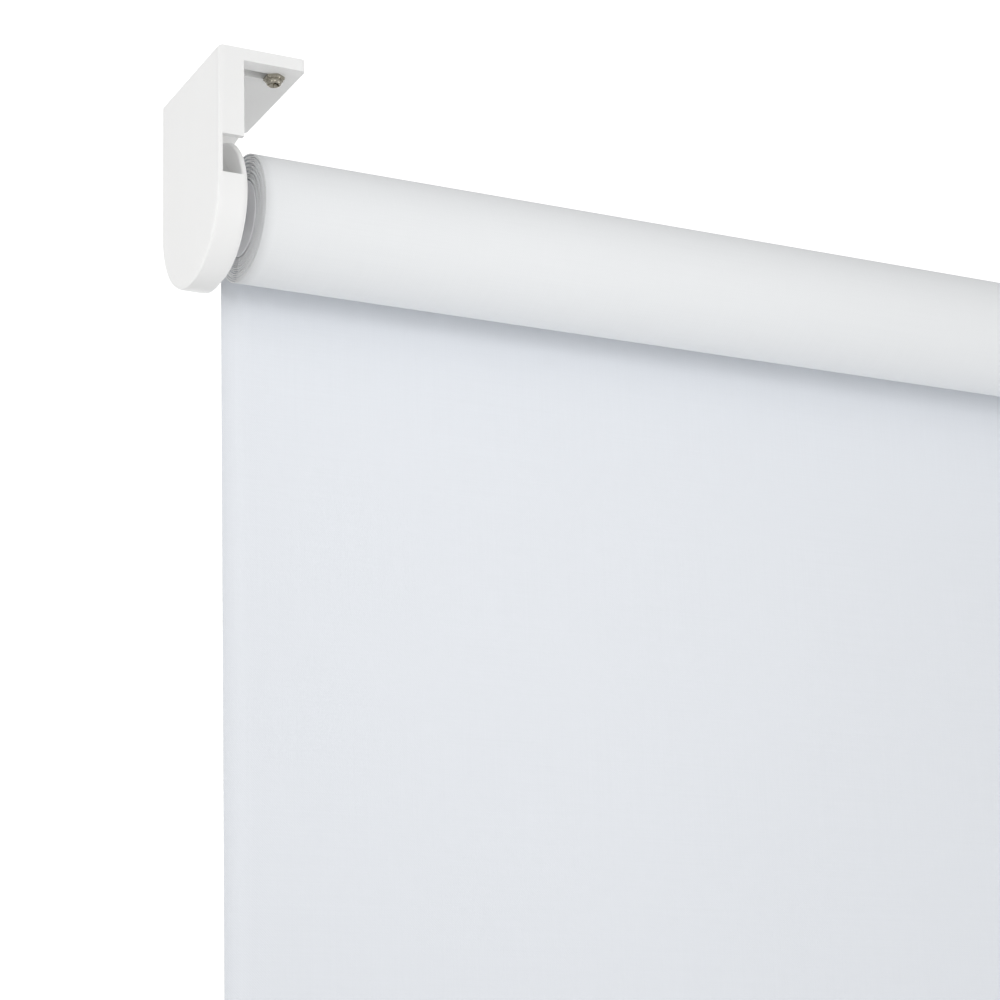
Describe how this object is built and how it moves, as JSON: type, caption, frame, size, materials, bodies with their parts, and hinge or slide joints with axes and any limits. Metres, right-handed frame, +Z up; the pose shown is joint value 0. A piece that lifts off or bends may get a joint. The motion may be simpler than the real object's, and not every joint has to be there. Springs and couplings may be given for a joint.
{
  "type": "roller blind",
  "caption": "Cordless spring-assisted roller blind: white fabric on a tube between two ceiling brackets, hanging to a hemmed bottom rail with a pull handle.",
  "frame": {"origin": "in the ceiling plane, midway between the two brackets and straight above the roller's axis", "axes": "+X along the roller from the idle (left) end to the spring (right) end, +Y towards the wall, +Z up to the ceiling"},
  "size_m": [0.6, 0.0528, 0.7859],
  "materials": {
    "white_plastic": "fine satin moulding",
    "grey_plastic": "satin moulding",
    "nickel_steel": "nickel plated",
    "bright_steel": "drawn, zinc plated",
    "spring_steel": "oiled spring wire",
    "aluminium": "mill finish",
    "blind_fabric": "coated plain weave",
    "tape": "adhesive tape"
  },
  "bodies": {
    "brackets": {"bracket_left": "white_plastic", "bracket_right": "white_plastic", "end_flange_left": "white_plastic", "end_flange_right": "white_plastic", "screw_front_left": "nickel_steel", "screw_rear_left": "nickel_steel", "screw_front_right": "nickel_steel", "screw_rear_right": "nickel_steel", "spindle": "bright_steel", "brake_drum": "bright_steel", "lift_spring": "spring_steel", "spring_anchor": "grey_plastic", "fabric_drop": "blind_fabric"},
    "roller": {"roller_tube": "aluminium", "fixing_tape": "tape", "fabric_roll": "blind_fabric", "idle_plug": "grey_plastic", "spring_seat": "grey_plastic", "pin_spring": "spring_steel", "drive_plug": "grey_plastic", "brake_shell": "grey_plastic", "brake_wrap_spring": "spring_steel", "spring_carrier": "grey_plastic"},
    "idle_pin": {"idle_pin": "bright_steel"},
    "bottom_bar": {"bottom_rail": "bright_steel", "hem_pocket": "blind_fabric", "rail_cap_left": "white_plastic", "rail_cap_right": "white_plastic", "pull_handle": "white_plastic", "handle_screw_left": "nickel_steel", "handle_screw_right": "nickel_steel"}
  },
  "joints": [
    {"name": "roller_turn", "type": "hinge", "parent": "brackets", "child": "roller", "pos_m": [0, 0, -0.0484], "axis": [1, 0, 0], "range_deg": [0, 1800]},
    {"name": "bar_slide", "type": "slide", "parent": "brackets", "child": "bottom_bar", "axis": [0, 0, 1], "range_m": [0, 0.6755], "deforming": ["fabric_drop"]},
    {"name": "pin_press", "type": "slide", "parent": "roller", "child": "idle_pin", "axis": [1, 0, 0], "range_m": [0, 0.008], "stiffness_N_per_m": 400, "springref_m": -0.006, "deforming": ["pin_spring"]}
  ],
  "couplings": [
    {"joint": "bar_slide", "follows": "roller_turn", "m_per_rad": 0.0215}
  ]
}
